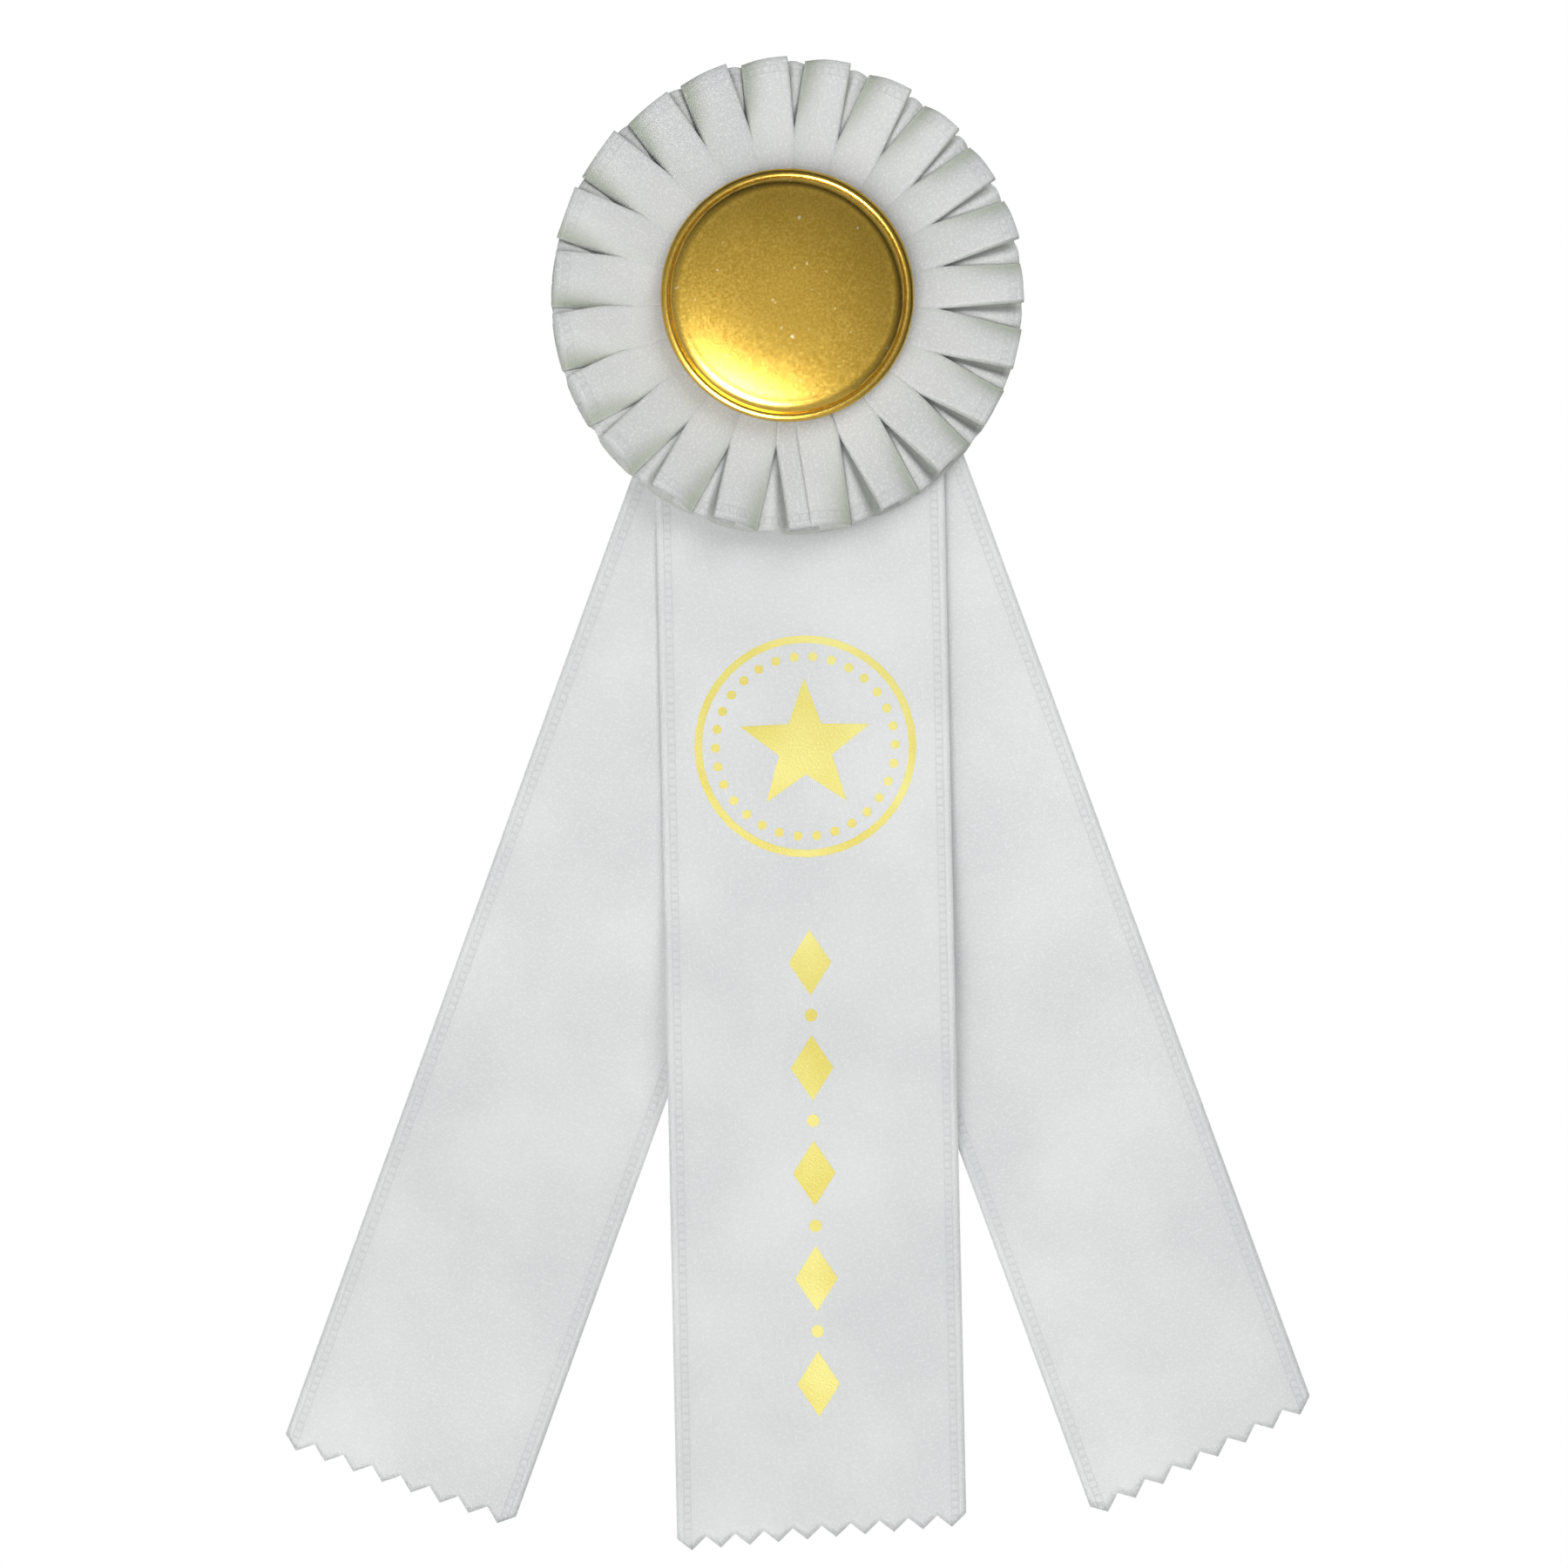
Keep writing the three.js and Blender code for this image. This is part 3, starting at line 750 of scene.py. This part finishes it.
def panel_level(across, width, height, radius):
    """The front panel: raised at its clockwise fold and rolling down to the other, most of all at the rim."""
    s = across / width
    roll = 0.6 * smooth(0.62 * RUFF_RADIUS, 0.95 * RUFF_RADIUS, radius)
    return height * (1 - roll * max(0.0, (0.4 - s) / 1.4) ** 2)


def panel(pleat, radius, start, end, lift=0.0, steps=12):
    width, height = pleat.width_at(radius), pleat.height_at(radius)
    points = []
    for i in range(steps + 1):
        s = start + (end - start) * i / steps
        level = panel_level(s * width, width, height, radius) + lift
        # The third value is painted shade, darkest on the panel's rolled side.
        points.append((s * width, level, max(0.0, (0.2 - s) / 1.2) ** 2))
    return points


def way_up(pleat, radius):
    """From the layer behind, round the slit and out to the pleat's rolled edge."""
    width, height = pleat.width_at(radius), pleat.height_at(radius)
    tuck = TUCK * height
    # The third value is painted shade.
    behind = [(-SLIT - (width - SLIT) * i / 4, tuck * (1 - (1 - ROLLED_EDGE) * i / 4), 0.2) for i in range(5)]
    edge = panel_level(-width, width, height, radius)
    return fold(-SLIT, 0, tuck, 1) + behind + fold(-width, tuck * ROLLED_EDGE, edge, -1)


def way_down(pleat, radius):
    """From the raised edge back behind the front panel, and round the slit to the layer behind."""
    width, height = pleat.width_at(radius), pleat.height_at(radius)
    tuck, edge = TUCK * height, RAISED_EDGE * height
    # The third value is painted shade.
    behind = [(width - (width - SLIT) * i / 4, edge + (tuck - edge) * i / 4, 0.2) for i in range(5)]
    return fold(width, height, edge, 1) + behind + fold(SLIT, tuck, 0, -1)


def between(pleat, after, radius, steps=12):
    """The layer behind, from one pleat's slit to the next one's, as angle, level and painted shade, which is
    lightest where the layer bulges up.
    """
    turn = (after.middle - pleat.middle) % (2 * math.pi)
    start, end = SLIT / radius, turn - SLIT / radius
    open_from = pleat.width_at(radius) / radius
    open_to = turn - after.width_at(radius) / radius
    wedge = smooth(0.3 * MM, 2.5 * MM, (open_to - open_from) * radius)
    points = []
    for i in range(steps + 1):
        angle = start + (end - start) * i / steps
        seen = min(1.0, max(0.0, (angle - open_from) / (open_to - open_from)))
        bulge = math.sin(math.pi * seen ** (1 - 0.4 * pleat.lean))
        level = 0.5 * pleat.height_at(radius) * wedge * bulge
        points.append((pleat.middle + angle, level, 0.5 * (1 - bulge)))
    return points


def ruff_row(pleats, radius):
    """The folded ribbon at one radius, from the end that lies under to the one on top: its x, level and z,
    and how much painted shade it gets."""
    row = []

    def on_pleat(pleat, points):
        out = radius + pleat.hem * smooth(0.7 * RUFF_RADIUS, RUFF_RADIUS, radius)
        s, c = math.sin(pleat.middle), math.cos(pleat.middle)
        row.extend((out * s + t * c, level, out * c - t * s, depth) for t, level, depth in points)

    first = pleats[0]
    on_pleat(first, panel(first, radius, JOIN_START / JOIN_HALF, 1))
    for pleat, after in zip(pleats, pleats[1:] + [first]):
        on_pleat(pleat, way_down(pleat, radius))
        for angle, level, depth in between(pleat, after, radius):
            row.append((radius * math.sin(angle), level, radius * math.cos(angle), depth))
        on_pleat(after, way_up(after, radius))
        if after is first:
            on_pleat(first, panel(first, radius, -1, JOIN_END / JOIN_HALF, JOIN_LIFT))
        else:
            on_pleat(after, panel(after, radius, -1, 1))
    return row


def make_ruff():
    inner = RUFF_RADIUS - RUFF_WIDTH
    rear = rear_of("pleated_ruff")
    pleats = plan_pleats()
    points, painted_fold_shades = [], []
    for i in range(RUFF_ROWS + 1):
        radius = inner + RUFF_WIDTH * i / RUFF_ROWS
        leaning = smooth(inner, 0.75 * RUFF_RADIUS, radius)
        outer = smooth(0.6 * RUFF_RADIUS, RUFF_RADIUS, radius)
        row = ruff_row(pleats, radius)
        for x, level, z, depth in row:
            slump = RUFF_SLUMP * (level / PLEAT_RISE - 0.5) * leaning
            points.append(Vector((CENTRE.x + x, rear - 0.2 * MM - level, CENTRE.z + z)) + slump)
            # Painted shade, stronger towards the rim.
            painted_fold_shades.append(depth * (0.15 + 0.65 * outer))
    columns = len(row)
    rim = points[-columns:]
    along = [0.0]
    for a, b in zip(rim, rim[1:]):
        along.append(along[-1] + (b - a).length)
    uvs = [(RUFF_WIDTH * i / RUFF_ROWS, v) for i in range(RUFF_ROWS + 1) for v in along]
    satin = satin_material("satin_ruff", RUFF_WIDTH, RUFF_SHADE_TONE)
    piece = new_piece("ruff", points, grid_faces(RUFF_ROWS + 1, columns), satin, uvs)
    shade = piece.data.attributes.new("fold", "FLOAT", "POINT")
    shade.data.foreach_set("value", painted_fold_shades)
    thicken(piece, RUFF_SHEET)
    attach(piece, "rosette")
    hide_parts("pleated_ruff")


# ---- rosette -----------------------------------------------------------------------------------------------


RIM = 1 * MM  # the section of the rolled rim
RIM_HEIGHT = 1.3 * MM  # its middle, in front of the shell's rear edge
RIM_LIP = 0.5 * MM  # where the sheet ends inside it
SHOULDER = 2.2 * MM
SHOULDER_OVERLAP = 0.55 * MM  # how far the shoulder's arc runs into the rim's, which makes the groove
CROWN_DROP = 0.7 * MM  # how much lower the crown is at the shoulder than in the middle
CROWN_STEPS = 24
SHELL_SHEET = 0.5 * MM


def make_button(material):
    """The pressed shell, as the CAD shell but round: crown, shoulder, groove and rolled rim."""
    rear = rear_of("button_shell")
    depth = rear - front_of("button_shell")
    rim_centre = BUTTON_RADIUS - RIM
    rim_inside = rim_centre - RIM
    shoulder_centre = rim_inside - SHOULDER + SHOULDER_OVERLAP
    shoulder_height = depth - CROWN_DROP - SHOULDER
    shares = (i / CROWN_STEPS for i in range(CROWN_STEPS))
    crown = [(shoulder_centre * share, depth - CROWN_DROP * share**3) for share in shares]
    profile = [(r, h - SHELL_SHEET) for r, h in crown]
    profile += arc(shoulder_centre, shoulder_height, SHOULDER - SHELL_SHEET, 90, 0, 10)
    profile += arc(rim_centre, RIM_HEIGHT, RIM - SHELL_SHEET, 120, -60, 10)
    profile += [(rim_inside, RIM_LIP), (rim_inside, 0)]
    profile += arc(rim_centre, RIM_HEIGHT, RIM, -60, 150, 22)
    profile += arc(shoulder_centre, shoulder_height, SHOULDER, 8, 90, 18)
    profile += reversed(crown)
    shell = turned("button", profile, rear, material)
    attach(shell, "rosette")
    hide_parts("button_shell")


def make_back_card(material):
    """The card disc behind the rosette, with soft edges."""
    rear = rear_of("back_card")
    depth = rear - front_of("back_card")
    radius = (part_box("back_card")[1][0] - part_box("back_card")[0][0]) / 2
    edge = 0.25 * MM
    profile = [(0, 0), (radius * 0.5, 0)]
    profile += arc(radius - edge, edge, edge, -90, 0, 4) + arc(radius - edge, depth - edge, edge, 0, 90, 4)
    profile += [(radius * 0.5, depth), (0, depth)]
    card = turned("card_back", profile, rear, material)
    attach(card, "rosette")
    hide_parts("back_card")


def paint(node, material):
    """Gives a CAD node that is shown as it is its material."""
    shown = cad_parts[node]
    for holder in shown.material_slots:
        holder.material = material


def main():
    make_camera()
    make_world()
    make_lights()
    make_floor()
    streamers = make_streamers()
    make_print(streamers["centre"], foil_material())
    make_ruff()
    make_button(gold_material())
    card = card_material()
    make_back_card(card)
    paint("ruff_card", card)
    nickel = plated_material("nickel", (0.66, 0.66, 0.64), (0.78, 0.78, 0.76), 0.14, 0.3)
    steel = plated_material("tinned_steel", (0.56, 0.56, 0.55), (0.68, 0.68, 0.67), 0.3, 0.5)
    for node in ("pin_bar", "pin_rivet", "pin_stem", "pin_catch"):
        paint(node, nickel)
    for node in ("button_back", "prong_fastener", "staple_1", "staple_2"):
        paint(node, steel)


main()
